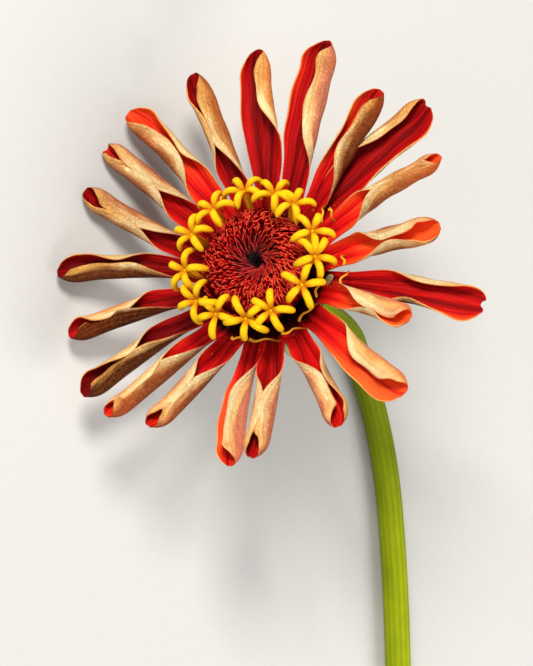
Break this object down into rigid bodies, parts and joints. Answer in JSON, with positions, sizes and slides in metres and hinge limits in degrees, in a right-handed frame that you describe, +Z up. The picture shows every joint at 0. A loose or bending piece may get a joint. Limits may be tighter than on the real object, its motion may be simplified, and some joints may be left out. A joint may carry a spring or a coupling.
{
  "type": "zinnia flower",
  "caption": "Cut zinnia lying on its side: quilled red ray petals with pale rolled backs round a dark red disc ringed with open yellow florets, on a bare bent green stem.",
  "frame": {"origin": "middle of the underside of the bounding box, level with the surface that the flower lies on", "axes": "+Z up from the surface; the stem lies toward -Y and the head is at +Y, facing up and toward -X"},
  "size_m": [0.0569, 0.1344, 0.0417],
  "materials": {
    "ray_petals": "matte",
    "disc": "matte",
    "yellow_florets": "satin",
    "involucre": "matte",
    "stem": "satin"
  },
  "bodies": {
    "root": {"ray_petals": "ray_petals", "disc": "disc", "yellow_florets": "yellow_florets", "involucre": "involucre", "stem": "stem"}
  },
  "joints": []
}
